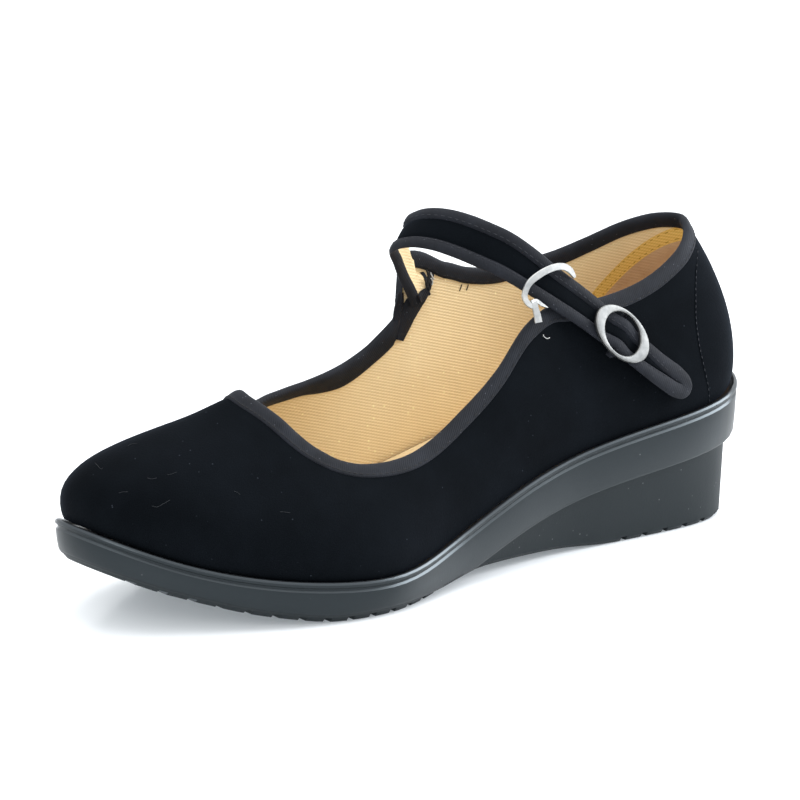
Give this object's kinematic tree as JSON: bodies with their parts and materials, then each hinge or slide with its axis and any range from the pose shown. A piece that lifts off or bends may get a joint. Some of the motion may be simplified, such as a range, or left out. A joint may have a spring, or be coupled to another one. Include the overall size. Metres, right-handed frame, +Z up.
{
  "type": "chinese cloth shoe",
  "caption": "Left cloth bar shoe: velvet upper with bound topline, strap with slider and hook buckle, and a moulded wedge sole.",
  "frame": {"origin": "centre of the bounding box on the floor plane under the shoe", "axes": "+Z up, -X towards the toe and +X towards the heel, -Y towards the wearer's outer side with the buckle"},
  "size_m": [0.245, 0.085, 0.1062],
  "materials": {
    "sole_unit": "satin moulded polyurethane",
    "upper": "black cotton velvet",
    "topline_binding": "charcoal bias tape",
    "insole": "golden twill",
    "strap": "black velvet with bound edges",
    "slider_ring": "satin nickel",
    "hook_buckle": "satin nickel"
  },
  "bodies": {
    "root": {"sole_unit": "sole_unit", "upper": "upper", "topline_binding": "topline_binding", "insole": "insole", "strap": "strap", "slider_ring": "slider_ring", "hook_buckle": "hook_buckle"}
  },
  "joints": []
}
